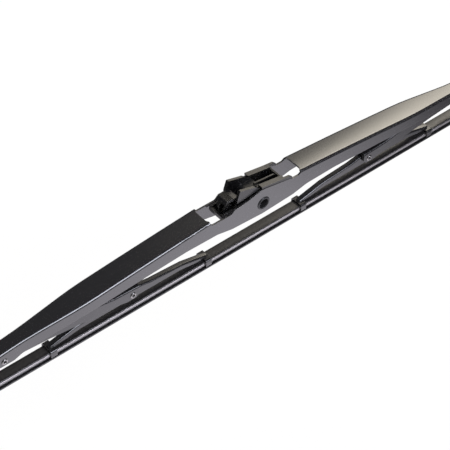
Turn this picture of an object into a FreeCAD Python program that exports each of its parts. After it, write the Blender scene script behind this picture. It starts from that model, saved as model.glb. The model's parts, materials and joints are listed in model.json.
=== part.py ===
import FreeCAD, Part
import math
import os

# Metal-frame windscreen wiper blade, 26 inch. One pressed main bridge carries two
# secondary yokes, each of which carries two tertiary yokes. The tertiary yokes grip
# the rubber with eight claws. Two steel rails in the rubber spread the load.
# Millimetres. X runs along the blade, Y across it, Z up from the glass.
# The origin is the centre of the hollow cross bush that the wiper arm fastens to.

# Places along the blade, measured from the bush
BLADE_LENGTH = 660.0
MAIN_PIVOT_X = 181.0
YOKE_SPAN = 87.25
CLAW_SPAN = 55.75
MAIN_PIVOT_Z = -11.6
THIRD_PIVOT_Z = -19.8

# Main bridge, a folded channel that is open below
BRIDGE_SHEET = 1.2
BRIDGE_HALF = 8.0
BRIDGE_END_HALF = 5.0
BRIDGE_BEND = 1.8
TAPER_START = 128.0
TAPER_LENGTH = 40.0
BRIDGE_TIP = 4.2
BRIDGE_BAYS = 4
BRIDGE_EASE = 8.0
EAR_DEPTH = 3.2
EAR_LENGTH = 6.0
ROOF_CENTRE_Z = 11.1
ROOF_MIDDLE = (100.0, 3.3)
ROOF_END_Z = -5.5
WINDOW_LEFT = -41.5
WINDOW_RIGHT = 30.5
WINDOW_CORNER = 3.0
WINDOW_SILL_LEFT_Z = 5.5
WINDOW_SILL_RIGHT_Z = 6.5
HUMP_LEFT_X = -24.6
HUMP_TOP = (-2.2, 11.5)
HUMP_FOOT = 4.0

# Hollow cross bush for a 1/4 inch side pin
BUSH_BORE_R = 3.2
BUSH_OUTER_R = 3.9
BUSH_FLANGE_R = 4.6
BUSH_FLANGE = 0.6

# Secondary yokes, a folded channel with a waist at the main pivot
SECOND_SHEET = 1.0
SECOND_HALF = 4.0
SECOND_WAIST_HALF = 3.0
SECOND_BEND = 1.4
SECOND_TIP = 4.6
SECOND_ROOF = 3.7
SECOND_END_ROOF = 5.0
WAIST_START = 30.0
WAIST_LENGTH = 30.0
SECOND_KNEE = 25.0
SECOND_BOX = 13.0
SECOND_NECK = 30.0
SECOND_CHEEK = 2.9

# Tertiary yokes, a narrow folded channel with a claw at each end
THIRD_SHEET = 0.8
THIRD_HALF = 2.0
THIRD_BEND = 1.1
THIRD_SHOULDER = (14.5, 0.5)
THIRD_ARM = (38.0, -1.2)
THIRD_DEPTH = 4.6
NOSE_LENGTH = 1.2
NOSE_HALF = 1.3
CLAW_LENGTH = 4.2
CLAW_HALF = 4.7
CLAW_TOP_Z = -26.6
CLAW_BOTTOM_Z = -31.9
CLAW_BEND = 1.2
CLAW_TOE = 2.3

# Tubular rivets and the plastic liners beside them
RIVET_R = 1.5
RIVET_HEAD_R = 2.05
RIVET_HEAD = 0.6
RIVET_HOLLOW_R = 0.85
LINER_REACH = 5.2
LINER_WEB = 0.4
LINER_DEPTH = 2.4

# Rubber section, from the top down, and the rails in its side slots
RUBBER_HALF = 3.6
HEAD_UPPER = 1.0
HEAD_LOWER = 1.0
HEAD_CORE_HALF = 1.2
NECK_HALF = 1.2
NECK_HEIGHT = 1.5
SHOULDER_HALF = 2.6
SHOULDER_HEIGHT = 1.1
HINGE_HALF = 0.55
HINGE_HEIGHT = 0.7
LIP_BODY_HALF = 2.2
LIP_BODY_HEIGHT = 1.0
LIP_HALF = 0.4
LIP_HEIGHT = 3.9
RAIL_THICKNESS = 0.8
RAIL_WIDTH = 2.3
RAIL_END_GAP = 3.0

# Clearances
RUNNING = 0.05
SIDE_GAP = 0.3
CLAW_GAP = 0.5
RAIL_GAP = 0.05
RIM_GAP = 0.3
RIM_SWING = 0.4

# Hook adapter, a plastic moulding that swings on the bush
ADAPTER_HALF = 6.4
ADAPTER_WAIST_HALF = 5.6
SLOT_HALF = 4.6
BOSS_R = 6.2
CORE_NOSE_X = -12.0
CORE_TOP_Z = 9.8
CORE_BOTTOM_Z = -5.6
BASE_LEFT_X = -30.6
BASE_BOTTOM_Z = 2.5
POCKET_LEFT_X = 1.0
POCKET_RIGHT_X = 15.0
POCKET_FLOOR_Z = 4.0
MOULD_WALL = 1.2
RIM_LEFT_X = -1.9
RIM_RIGHT_X = 22.7
PAD_LEFT_X = -25.6
PAD_RIGHT_X = -20.6
PAD_HALF = 4.2
LATCH_LEG_X = -17.2
PAD_TOP_Z = 13.1
PAD_RIBS = 5
PAD_RIB = 0.5
GUSSET_Y = 2.9
GUSSET_LEFT_X = -27.4
GUSSET_TOP_Z = 9.2

# Longer than any part in every direction that is cut away
FAR = 60.0


def vec(plane, a, b, c=0.0):
    """Point of a drawing plane: side is X-Z, plan is X-Y, section is Y-Z."""
    if plane == "side":
        return FreeCAD.Vector(a, c, b)
    if plane == "plan":
        return FreeCAD.Vector(a, b, c)
    return FreeCAD.Vector(c, a, b)


def outline(plane, corners):
    """Closed wire through (a, b, r) corners, each rounded with its own radius r."""
    n = len(corners)
    cut = []
    for i in range(n):
        a, b, r = corners[i]
        p = vec(plane, a, b)
        before = vec(plane, *corners[i - 1][:2]) - p
        after = vec(plane, *corners[(i + 1) % n][:2]) - p
        turn = before.getAngle(after)
        if r <= 0 or abs(turn - math.pi) < 1e-6:
            cut.append((p, p, p))
            continue
        reach = r / math.tan(turn / 2)
        u, v = before.normalize(), after.normalize()
        start, end = p + u * reach, p + v * reach
        bisector = (u + v).normalize()
        middle = p + bisector * (r / math.sin(turn / 2) - r)
        cut.append((start, middle, end))
    edges = []
    for i in range(n):
        start, middle, end = cut[i]
        if start.distanceToPoint(end) > 1e-6:
            edges.append(Part.Arc(start, middle, end).toShape())
        following = cut[(i + 1) % n][0]
        if end.distanceToPoint(following) > 1e-6:
            edges.append(Part.makeLine(end, following))
    return Part.Wire(edges)


def prism(plane, corners, low, high):
    """Outline filled and carried from low to high along the plane's normal."""
    face = Part.Face(outline(plane, corners))
    face.translate(vec(plane, 0, 0, low))
    return face.extrude(vec(plane, 0, 0, high - low))


def rod(radius, y_low, y_high, x=0.0, z=0.0):
    """Cylinder across the blade."""
    return Part.makeCylinder(radius, y_high - y_low, FreeCAD.Vector(x, y_low, z), FreeCAD.Vector(0, 1, 0))


def ramp(u, ease):
    """0 before a corner and u after it, with a parabola between -ease and ease."""
    if abs(u) >= ease:
        return max(u, 0.0)
    return (u + ease) ** 2 / (4 * ease)


def line_at(points, x, ease=0.0):
    """Height at x of a line through (x, z) points, with its corners eased if asked for."""
    slopes = [(b[1] - a[1]) / (b[0] - a[0]) for a, b in zip(points, points[1:])]
    z = points[0][1] + slopes[0] * (x - points[0][0])
    for corner, before, after in zip(points[1:], slopes, slopes[1:]):
        z += (after - before) * ramp(x - corner[0], ease)
    return z


def block(stations, inset):
    """Square-edged solid through (x, half width, roof height) stations, all inset."""
    plan = [(x, inset - half, 0) for x, half, roof in stations]
    plan += [(x, half - inset, 0) for x, half, roof in reversed(stations)]
    side = [(x, roof - inset, 0) for x, half, roof in stations]
    side += [(stations[-1][0], -FAR, 0), (stations[0][0], -FAR, 0)]
    return prism("plan", plan, -FAR, FAR).common(prism("side", side, -FAR, FAR))


def fold_cutter(stations, bend, side):
    """Solid outside the rounded fold along one side, to cut the sharp edge away."""
    wires = []
    for x, half, roof in stations:
        y, z, past = side * half, roof, side * (half + 1.0)
        start, end = vec("section", y, z - bend, x), vec("section", y - side * bend, z, x)
        bow = bend * (1 - math.sqrt(0.5))
        middle = vec("section", y - side * bow, z - bow, x)
        above, corner = vec("section", y - side * bend, z + 1.0, x), vec("section", past, z + 1.0, x)
        low = vec("section", past, z - bend, x)
        loop = [end, above, corner, low, start]
        straight = [Part.makeLine(a, b) for a, b in zip(loop, loop[1:])]
        wires.append(Part.Wire([Part.Arc(start, middle, end).toShape()] + straight))
    return Part.makeLoft(wires, True, True)


def channel(half_at, roof_at, places, low, sheet, bend):
    """Folded channel, the same on both sides of x = 0.

    half_at(x) and roof_at(x) give its width and height, places lists where its sections
    stand from 0 to the tip, and low is the lower edge of its walls from 0 to the tip.
    Only the outside of the fold is rounded, which keeps the inside light in faces.
    """
    right = [(x, half_at(x), roof_at(x)) for x in sorted(set(places))]
    stations = [(-x, half, roof) for x, half, roof in right[:0:-1]] + right
    shape = block(stations, 0.0).cut([fold_cutter(widened(stations), bend, side) for side in (-1, 1)])
    shape = shape.cut(block(widened(stations), sheet))
    edge = [(-x, z, r) for x, z, r in low[::-1]] + low
    tip = low[-1][0]
    return shape.common(prism("side", edge + [(tip, FAR, 0), (-tip, FAR, 0)], -FAR, FAR))


def widened(stations):
    """Stations whose first and last are moved out, so that a cut passes the ends."""
    first, last = stations[0], stations[-1]
    return [(first[0] - 1.0,) + first[1:]] + stations + [(last[0] + 1.0,) + last[1:]]


# Main bridge

def bridge_roof(x):
    """Height of the roof line at +X, a parabola through its three given points."""
    (x0, z0), (x1, z1) = (0.0, ROOF_CENTRE_Z), ROOF_MIDDLE
    x2, z2 = MAIN_PIVOT_X + BRIDGE_TIP, ROOF_END_Z
    first = (z1 - z0) / (x1 - x0)
    bow = ((z2 - z1) / (x2 - x1) - first) / (x2 - x0)
    return z0 + first * (x - x0) + bow * (x - x0) * (x - x1)


def bridge_half(x):
    """Half width of the bridge at +X."""
    end = TAPER_START + TAPER_LENGTH
    plan = [(0.0, BRIDGE_HALF), (TAPER_START, BRIDGE_HALF), (end, BRIDGE_END_HALF),
            (end + 1.0, BRIDGE_END_HALF)]
    return line_at(plan, x, BRIDGE_EASE)


def bridge_lower_edge():
    """Lower edge of the walls from x = 0 to the tip, as (x, z, r)."""
    tip = MAIN_PIVOT_X + BRIDGE_TIP
    ear = MAIN_PIVOT_Z - EAR_DEPTH
    ear_x = MAIN_PIVOT_X - EAR_LENGTH
    return [
        (0.0, -8.3, 0), (24.0, -6.9, 10.0), (35.0, -4.5, 12.0), (58.0, -4.0, 60.0), (98.0, -6.0, 80.0),
        (134.0, -8.2, 80.0), (ear_x - 5.0, MAIN_PIVOT_Z - 1.1, 6.0), (ear_x, ear, 4.0),
        (tip - 1.2, ear, 0), (tip, MAIN_PIVOT_Z - 1.0, 0),
    ]


def window_wall_top(gap=0.0):
    """Upper edge of the walls inside the window, with the hump over the bush."""
    left, right = WINDOW_LEFT + 1.0, WINDOW_RIGHT - 1.0
    hump_right = RIM_RIGHT_X + RIM_GAP
    edge = [
        (left, WINDOW_SILL_LEFT_Z, 2.5), (HUMP_LEFT_X, WINDOW_SILL_LEFT_Z, 2.0),
        (HUMP_LEFT_X + 2.0, WINDOW_SILL_LEFT_Z + 2.2, 2.0), (-11.0, 9.1, 8.0), HUMP_TOP + (5.0,),
        (1.5, 11.2, 8.0), (hump_right - 2.5, WINDOW_SILL_RIGHT_Z + 1.2, 3.0),
        (hump_right, WINDOW_SILL_RIGHT_Z, 3.0), (right, WINDOW_SILL_RIGHT_Z, 2.5),
    ]
    return [(x, z + gap, r) for x, z, r in edge]


def make_main_bridge():
    """One pressed channel with the hump, the window and three cross holes."""
    tip = MAIN_PIVOT_X + BRIDGE_TIP
    places = [TAPER_START * i / BRIDGE_BAYS for i in range(BRIDGE_BAYS)] + [tip]
    for corner in (TAPER_START, TAPER_START + TAPER_LENGTH):
        places += [corner - BRIDGE_EASE, corner, corner + BRIDGE_EASE]
    bridge = channel(bridge_half, bridge_roof, places, bridge_lower_edge(), BRIDGE_SHEET, BRIDGE_BEND)
    inner = BRIDGE_HALF - BRIDGE_SHEET
    top = window_wall_top()
    middle = top[1:-1]
    feet = [(middle[0][0] - HUMP_FOOT, 0, 0), (middle[-1][0] + HUMP_FOOT, 0, 0)]
    hump = prism("side", feet[:1] + middle + feet[1:], -BRIDGE_HALF, BRIDGE_HALF)
    bridge = bridge.fuse(hump.cut(across_box(-FAR, FAR, inner, -FAR, FAR)))
    bridge = bridge.cut(prism("side", [(top[0][0], FAR, 0)] + top + [(top[-1][0], FAR, 0)], -FAR, FAR))
    corners = [(WINDOW_LEFT, -inner), (WINDOW_RIGHT, -inner), (WINDOW_RIGHT, inner), (WINDOW_LEFT, inner)]
    bridge = bridge.cut(prism("plan", [(x, y, WINDOW_CORNER) for x, y in corners], -FAR / 2, FAR / 2))
    bridge = bridge.cut(rod(BUSH_OUTER_R, -FAR, FAR))
    for s in (-1, 1):
        bridge = bridge.cut(rod(RIVET_R, -FAR, FAR, s * MAIN_PIVOT_X, MAIN_PIVOT_Z))
    return bridge.removeSplitter()


def make_centre_bush():
    """Hollow rivet across the bridge with a rolled flange on each wall."""
    return tube_rivet(BUSH_OUTER_R, BUSH_FLANGE_R, BUSH_FLANGE, BUSH_BORE_R, BRIDGE_HALF)


def tube_rivet(radius, head_r, head, hollow_r, channel_half):
    """Tube across a channel with a flat head against the outside of each wall."""
    rivet = rod(radius, -channel_half, channel_half)
    for s in (-1, 1):
        low, high = sorted((s * channel_half, s * (channel_half + head)))
        rivet = rivet.fuse(rod(head_r, low, high))
    return rivet.cut(rod(hollow_r, -FAR, FAR)).removeSplitter()


# Secondary and tertiary yokes, drawn with their own pivot at the origin

def make_secondary_yoke():
    """Channel whose ends each carry a tertiary yoke, drawn about the main pivot."""
    tip = YOKE_SPAN + SECOND_TIP
    third = THIRD_PIVOT_Z - MAIN_PIVOT_Z
    end_roof = third + SECOND_END_ROOF
    roof = [(0.0, SECOND_ROOF), (6.0, SECOND_ROOF), (YOKE_SPAN - SECOND_KNEE, end_roof + 3.1),
            (YOKE_SPAN - SECOND_BOX, end_roof + 0.9), (tip, end_roof)]
    plan = [(0.0, SECOND_WAIST_HALF), (WAIST_START, SECOND_WAIST_HALF),
            (WAIST_START + WAIST_LENGTH, SECOND_HALF), (tip, SECOND_HALF)]
    box = YOKE_SPAN - SECOND_BOX
    low = [(0.0, -3.0, 0), (5.0, -3.0, 0), (YOKE_SPAN - SECOND_NECK, third + 0.6, SECOND_NECK),
           (box - 2.5, third - 0.2, 3.0), (box + 1.5, third - 1.1, 3.0),
           (YOKE_SPAN - 4.5, third - SECOND_CHEEK, 4.0), (YOKE_SPAN + 2.4, third - SECOND_CHEEK, 2.4),
           (tip, third - 0.6, 0)]
    places = [p[0] for p in roof + plan]
    yoke = channel(lambda x: line_at(plan, x), lambda x: line_at(roof, x), places, low,
                   SECOND_SHEET, SECOND_BEND)
    yoke = yoke.cut(rod(RIVET_R + RUNNING, -FAR, FAR))
    for s in (-1, 1):
        yoke = yoke.cut(rod(RIVET_R, -FAR, FAR, s * YOKE_SPAN, third))
    return yoke.removeSplitter()


def make_claw(base_z):
    """Sheet folded round the head of the rubber, with the toes turned in below it."""
    top, bottom = CLAW_TOP_Z - base_z, CLAW_BOTTOM_Z - base_z
    left, right = CLAW_SPAN - CLAW_LENGTH / 2, CLAW_SPAN + CLAW_LENGTH / 2
    half, sheet = CLAW_HALF, THIRD_SHEET

    def ring(inset, radius):
        y, low, high = half - inset, bottom + inset, top - inset
        return [(-y, low, radius), (y, low, radius), (y, high, radius), (-y, high, radius)]

    claw = prism("section", ring(0.0, CLAW_BEND), left, right)
    claw = claw.cut(prism("section", ring(sheet, 0), left - 1, right + 1))
    open_half = half - sheet - CLAW_TOE
    return claw.cut(Part.makeBox(2 * CLAW_LENGTH, 2 * open_half, 2 * sheet,
                                 FreeCAD.Vector(left - 1, -open_half, bottom - sheet / 2)))


def make_claw_yoke():
    """Narrow channel with a claw at each end, drawn about its own pivot."""
    claw_top = CLAW_TOP_Z - THIRD_PIVOT_Z
    tip = CLAW_SPAN + 1.2
    roof = [(0.0, 2.5), (4.5, 2.5), THIRD_SHOULDER, THIRD_ARM, (tip, claw_top + THIRD_BEND + 0.1)]
    foot = claw_top - THIRD_SHEET
    low = [(0.0, -THIRD_DEPTH, 0), (THIRD_ARM[0] - 1.0, -THIRD_DEPTH, THIRD_ARM[0]),
           (CLAW_SPAN - CLAW_LENGTH / 2, foot, 0), (tip, foot, 0)]
    nose_x = tip - NOSE_LENGTH

    def half_at(x):
        return THIRD_HALF if x <= nose_x else NOSE_HALF

    places = [nose_x] + [p[0] for p in roof]
    yoke = channel(half_at, lambda x: line_at(roof, x), places, low, THIRD_SHEET, THIRD_BEND)
    claw = make_claw(THIRD_PIVOT_Z)
    yoke = yoke.fuse([claw, claw.mirror(FreeCAD.Vector(0, 0, 0), FreeCAD.Vector(1, 0, 0))])
    return yoke.cut(rod(RIVET_R + RUNNING, -FAR, FAR)).removeSplitter()


# Rivets and liners

def make_rivet(channel_half):
    """Tubular rivet across a channel, rolled over at both ends."""
    return tube_rivet(RIVET_R, RIVET_HEAD_R, RIVET_HEAD, RIVET_HOLLOW_R, channel_half)


def make_liner(channel_half, yoke_half, roof):
    """Plastic saddle that lines a channel beside a yoke, open below round the rivet."""
    foot, notch = LINER_REACH / 2, RIVET_R + RUNNING
    arch = [(-foot, -LINER_DEPTH, 0), (-notch, -LINER_DEPTH, 0), (-notch, notch, 0), (notch, notch, 0),
            (notch, -LINER_DEPTH, 0), (foot, -LINER_DEPTH, 0), (LINER_REACH, 0, 0),
            (LINER_REACH, roof, 0), (-LINER_REACH, roof, 0), (-LINER_REACH, 0, 0)]
    liner = prism("side", arch, -channel_half, channel_half)
    return liner.cut(across_box(-FAR, FAR, yoke_half + SIDE_GAP, -FAR, roof - LINER_WEB))


def across_box(x_low, x_high, half, z_low, z_high):
    """Box centred across the blade."""
    return Part.makeBox(x_high - x_low, 2 * half, z_high - z_low, FreeCAD.Vector(x_low, -half, z_low))


# Rubber and rails

def rubber_levels():
    """Heights of the steps of the rubber section, from the top down."""
    slot = RAIL_THICKNESS + 2 * RAIL_GAP
    z = CLAW_TOP_Z - THIRD_SHEET - CLAW_GAP
    levels = [z]
    head = (HEAD_UPPER, slot, HEAD_LOWER, NECK_HEIGHT)
    for step in head + (SHOULDER_HEIGHT, HINGE_HEIGHT, LIP_BODY_HEIGHT, LIP_HEIGHT):
        z -= step
        levels.append(z)
    return levels


def make_rubber():
    """One extrusion: slotted head, neck, shoulder, tilting web and wiping lip."""
    top, slot_top, slot_low, head_low, shoulder, web, lip_body, taper, tip = rubber_levels()
    right = [
        (RUBBER_HALF, top, 0.5), (RUBBER_HALF, slot_top, 0), (HEAD_CORE_HALF, slot_top, 0),
        (HEAD_CORE_HALF, slot_low, 0), (RUBBER_HALF, slot_low, 0), (RUBBER_HALF, head_low, 0.4),
        (NECK_HALF, head_low, 0), (NECK_HALF, shoulder, 0), (SHOULDER_HALF, shoulder, 0.4),
        (SHOULDER_HALF, web, 0), (HINGE_HALF, web, 0), (HINGE_HALF, lip_body, 0),
        (LIP_BODY_HALF, lip_body, 0), (LIP_BODY_HALF, taper, 0), (LIP_HALF + 0.1, taper - 1.6, 2.0),
        (LIP_HALF, tip, 0),
    ]
    left = [(-y, z, r) for y, z, r in reversed(right)]
    return prism("section", right + left, -BLADE_LENGTH / 2, BLADE_LENGTH / 2)


def make_rail(side):
    """Flat strip in one side slot, with its corners rounded."""
    top, slot_top = rubber_levels()[:2]
    length = BLADE_LENGTH - 2 * RAIL_END_GAP
    inner, end = HEAD_CORE_HALF + RAIL_GAP, length / 2
    outer = inner + RAIL_WIDTH
    corners = [(-end, inner, 0.5), (end, inner, 0.5), (end, outer, 0.8), (-end, outer, 0.8)]
    high = slot_top - RAIL_GAP
    return prism("plan", [(x, side * y, r) for x, y, r in corners], high - RAIL_THICKNESS, high)


# Hook adapter

def plate(corners, low, high):
    """Two plates, one on each side, between the widths low and high."""
    return prism("side", corners, low, high).fuse(prism("side", corners, -high, -low))


def adapter_core():
    """Solid block round the bush that the arm's hook wraps, with a round boss on each side."""
    core = prism("side", [
        (CORE_NOSE_X, CORE_TOP_Z, 5.0), (POCKET_LEFT_X, CORE_TOP_Z, 0), (POCKET_LEFT_X, CORE_BOTTOM_Z, 2.0),
        (CORE_NOSE_X, CORE_BOTTOM_Z, 6.0)], -SLOT_HALF - 0.1, SLOT_HALF + 0.1)
    return core.fuse(rod(BOSS_R, -ADAPTER_HALF, ADAPTER_HALF))


def adapter_sides():
    """Side plates, the tall cheeks on them and the rims that cap the bridge walls."""
    low = [(BASE_LEFT_X, BASE_BOTTOM_Z, 0.6), (BASE_LEFT_X, 5.6, 0.8), (-20.6, 6.4, 1.0), (-18.6, 10.2, 0.5),
           (RIM_LEFT_X, 12.2, 0), (16.0, 9.2, 0), (16.0, 1.6, 2.0), (8.0, CORE_BOTTOM_Z, 6.0),
           (-11.0, CORE_BOTTOM_Z, 6.0), (-15.0, BASE_BOTTOM_Z, 3.0)]
    cheek = [(-19.4, 9.8, 0), (-19.4, 11.8, 2.0), (-17.6, 18.4, 0.5), (-10.8, 16.4, 8.0),
             (-5.6, 14.9, 3.0), (-3.4, 12.8, 1.0), (RIM_LEFT_X + 0.6, 12.0, 0), (-9.0, 10.8, 6.0)]
    under = [p for p in window_wall_top(RIM_GAP) if RIM_LEFT_X < p[0] < RIM_RIGHT_X]
    rim = [(RIM_LEFT_X, 13.7, 0), (13.0, 11.1, 20.0), (20.0, 10.2, 1.2), (RIM_RIGHT_X, 7.8, 0),
           (RIM_RIGHT_X, 7.0, 0)] + under[:0:-1]
    x, z, r = under[0]
    rim += [(x, z + RIM_SWING, r), (RIM_LEFT_X, z + 2 * RIM_SWING, 0)]
    cap = plate(rim, SLOT_HALF, BRIDGE_HALF)
    beyond = across_box(POCKET_RIGHT_X + MOULD_WALL, FAR, BRIDGE_HALF - BRIDGE_SHEET - 0.2, -FAR, FAR)
    sides = plate(low, SLOT_HALF, ADAPTER_WAIST_HALF)
    return sides.fuse([plate(cheek, SLOT_HALF, ADAPTER_HALF), cap.cut(beyond)])


def adapter_pocket():
    """Floor, end wall and central rib of the pocket at the right."""
    edge = SLOT_HALF + 0.1
    outer_x, under = POCKET_RIGHT_X + MOULD_WALL, POCKET_FLOOR_Z - MOULD_WALL
    floor = across_box(POCKET_LEFT_X - 1, outer_x, edge, under, POCKET_FLOOR_Z)
    end = across_box(POCKET_RIGHT_X, outer_x, edge, 1.6, 10.0)
    rib_end, rib_foot = POCKET_RIGHT_X + 0.5, POCKET_FLOOR_Z - 0.5
    rib = prism("side", [(-1.2, CORE_TOP_Z - 1, 0), (-1.2, 11.1, 0), (rib_end, 9.3, 0), (rib_end, rib_foot, 0),
                         (-1.2, rib_foot, 0)], -0.5, 0.5)
    return floor.fuse([end, rib])


def adapter_latch():
    """Base plate with a springy leg, and on it the thumb pad with its grip ribs."""
    edge = SLOT_HALF + 0.1
    leg_x = LATCH_LEG_X
    base = across_box(BASE_LEFT_X, leg_x, edge, BASE_BOTTOM_Z, BASE_BOTTOM_Z + MOULD_WALL)
    end = across_box(BASE_LEFT_X, BASE_LEFT_X + MOULD_WALL, edge, BASE_BOTTOM_Z, 5.0)
    latch = prism("side", [
        (leg_x, BASE_BOTTOM_Z, 0), (leg_x, 12.4, 0), (PAD_RIGHT_X, 12.9, 1.0),
        (PAD_RIGHT_X - 0.5, PAD_TOP_Z, 1.0),
        (PAD_LEFT_X, PAD_TOP_Z, 0.6), (PAD_LEFT_X - 0.9, 9.4, 0.6), (PAD_LEFT_X + 0.6, 9.4, 0.6),
        (PAD_LEFT_X + 1.2, 11.4, 0.8), (leg_x - 1.6, 11.2, 1.2), (leg_x - 1.4, BASE_BOTTOM_Z, 0)],
        -PAD_HALF, PAD_HALF)
    parts = [end, latch]
    for y, rise in ((-GUSSET_Y, 0.0), (0.0, 1.0), (GUSSET_Y, 0.0)):
        left, top = GUSSET_LEFT_X - rise, GUSSET_TOP_Z + 2.4 * rise
        gusset = [(left, BASE_BOTTOM_Z, 0), (left, top - 2.0, 1.0), (PAD_LEFT_X, top, 0.6),
                  (-21.5, top, 1.0), (-21.5, BASE_BOTTOM_Z, 0)]
        parts.append(prism("side", gusset, y - 0.5, y + 0.5))
    pitch = (PAD_RIGHT_X - PAD_LEFT_X - 1.0) / (PAD_RIBS - 1)
    for i in range(PAD_RIBS):
        x = PAD_LEFT_X + 0.5 + i * pitch
        parts.append(across_box(x - PAD_RIB / 2, x + PAD_RIB / 2, PAD_HALF - 0.2, PAD_TOP_Z - 0.3, PAD_TOP_Z + 0.4))
    return base.fuse(parts)


def make_hook_adapter():
    adapter = adapter_core().fuse([adapter_sides(), adapter_pocket(), adapter_latch()])
    return adapter.cut(rod(BUSH_OUTER_R + RUNNING, -FAR, FAR)).removeSplitter()


def placed(shape, x, z):
    shape = shape.copy()
    shape.translate(FreeCAD.Vector(x, 0, z))
    return shape


def all_parts():
    """Every node of the blade, in place."""
    nodes = {
        "main_bridge": make_main_bridge(),
        "centre_bush": make_centre_bush(),
        "hook_adapter": make_hook_adapter(),
        "rubber_element": make_rubber(),
        "steel_rail_front": make_rail(-1),
        "steel_rail_back": make_rail(1),
    }
    secondary, claw_yoke = make_secondary_yoke(), make_claw_yoke()
    main_rivet, claw_rivet = make_rivet(BRIDGE_END_HALF), make_rivet(SECOND_HALF)
    bridge_roof = ROOF_END_Z - BRIDGE_SHEET - MAIN_PIVOT_Z
    main_liner = make_liner(BRIDGE_END_HALF - BRIDGE_SHEET, SECOND_WAIST_HALF, bridge_roof)
    claw_liner = make_liner(SECOND_HALF - SECOND_SHEET, THIRD_HALF, SECOND_END_ROOF - SECOND_SHEET)
    for side, s in (("left", -1), ("right", 1)):
        x = s * MAIN_PIVOT_X
        nodes["secondary_yoke_" + side] = placed(secondary, x, MAIN_PIVOT_Z)
        nodes["pivot_rivet_" + side] = placed(main_rivet, x, MAIN_PIVOT_Z)
        nodes["pivot_liner_" + side] = placed(main_liner, x, MAIN_PIVOT_Z)
        for place, reach in (("inner", -YOKE_SPAN), ("outer", YOKE_SPAN)):
            x = s * (MAIN_PIVOT_X + reach)
            name = side + "_" + place
            nodes["claw_yoke_" + name] = placed(claw_yoke, x, THIRD_PIVOT_Z)
            nodes["claw_rivet_" + name] = placed(claw_rivet, x, THIRD_PIVOT_Z)
            nodes["claw_liner_" + name] = placed(claw_liner, x, THIRD_PIVOT_Z)
    return nodes


if __name__ == "__main__":
    os.makedirs("parts", exist_ok=True)
    for name, shape in all_parts().items():
        if len(shape.Solids) == 1:
            shape = shape.Solids[0]
        print(name, shape.isValid(), round(shape.Volume, 1), shape.BoundBox)
        shape.exportStep("parts/" + name + ".step")
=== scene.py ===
# %% [markdown]
# # A metal-frame wiper blade, dressed for the studio
# The steel and plastic parts of the blade come in as a fixed frame and keep their place
# and size. This lesson adds what the frame can't show: the paint, the moulded plastic,
# the rubber with its two bright rails, the rolled heads of the rivets, and a photo studio.
# Everything is in metres. X runs along the blade, Y across it and Z away from the glass.

import json
import math

import bmesh
import bpy
import numpy as np
from mathutils import Matrix, Vector


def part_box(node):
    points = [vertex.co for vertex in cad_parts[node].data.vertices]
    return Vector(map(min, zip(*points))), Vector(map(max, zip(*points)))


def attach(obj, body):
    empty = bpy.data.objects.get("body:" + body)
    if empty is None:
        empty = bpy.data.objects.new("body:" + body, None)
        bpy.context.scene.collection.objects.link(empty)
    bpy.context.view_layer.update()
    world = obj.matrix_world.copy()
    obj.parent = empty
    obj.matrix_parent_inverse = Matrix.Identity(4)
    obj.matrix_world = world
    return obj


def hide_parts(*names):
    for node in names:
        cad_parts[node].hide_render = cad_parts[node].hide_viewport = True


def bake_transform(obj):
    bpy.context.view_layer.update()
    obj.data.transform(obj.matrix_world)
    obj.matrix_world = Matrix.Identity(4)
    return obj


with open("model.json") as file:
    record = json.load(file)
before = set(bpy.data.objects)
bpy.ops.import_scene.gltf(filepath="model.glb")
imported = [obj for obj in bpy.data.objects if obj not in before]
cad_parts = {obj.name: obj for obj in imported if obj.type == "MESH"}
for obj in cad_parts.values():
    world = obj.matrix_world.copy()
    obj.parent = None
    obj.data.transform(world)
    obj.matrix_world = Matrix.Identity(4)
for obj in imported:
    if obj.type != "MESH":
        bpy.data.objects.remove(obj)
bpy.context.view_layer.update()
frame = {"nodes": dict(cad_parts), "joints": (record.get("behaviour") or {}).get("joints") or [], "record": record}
MM = 0.001
joints = {joint["name"]: joint for joint in frame["joints"]}

# %% [markdown]
# ## The camera
# The photograph was taken from above the left end with a medium lens. The camera looks at
# the bush in the middle of the blade. Its place is given as a product photographer would
# say it: how far round, how high, how far away, and how much the camera is tilted.
# The blade isn't in the middle of the picture. A lens shift could move it there, but it
# would stay in every other view too, so the camera is moved a little in its own picture
# plane instead, which keeps the direction of view.

# %% Camera values
PICTURE = 450
AZIMUTH, ELEVATION, ROLL = math.radians(-42.07), math.radians(45.1), math.radians(2.65)
DISTANCE = 835.8 * MM
FOCAL_PIXELS = 1412.9
SENSOR = 36.0
AIM_RIGHT, AIM_UP = 17.51 * MM, 17.36 * MM
NEAR_CLIP = 10.0 * MM


def camera_axes(azimuth, elevation, roll):
    """Right, up and back vectors of a camera that stands at that azimuth and elevation."""
    back = Vector((math.sin(azimuth) * math.cos(elevation),
                   -math.cos(azimuth) * math.cos(elevation), math.sin(elevation)))
    level = Vector((math.cos(azimuth), math.sin(azimuth), 0))
    above = back.cross(level)
    right = math.cos(roll) * level + math.sin(roll) * above
    up = math.cos(roll) * above - math.sin(roll) * level
    return right, up, back


def put(name, data):
    """An object for a camera, a lamp or a mesh, put in the scene."""
    made = bpy.data.objects.new(name, data)
    bpy.context.scene.collection.objects.link(made)
    return made


# %% Place the camera
right, up, back = camera_axes(AZIMUTH, ELEVATION, ROLL)
camera = put("camera", bpy.data.cameras.new("camera"))
camera.matrix_world = Matrix((right, up, back)).transposed().to_4x4()
camera.location = back * DISTANCE - right * AIM_RIGHT - up * AIM_UP
camera.data.sensor_width = SENSOR
camera.data.lens = FOCAL_PIXELS * SENSOR / PICTURE
camera.data.clip_start = NEAR_CLIP
bpy.context.scene.camera = camera
bpy.context.scene.view_settings.view_transform = "Standard"
print("lens", round(camera.data.lens, 1), "mm at", [round(v, 3) for v in camera.location])

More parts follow.
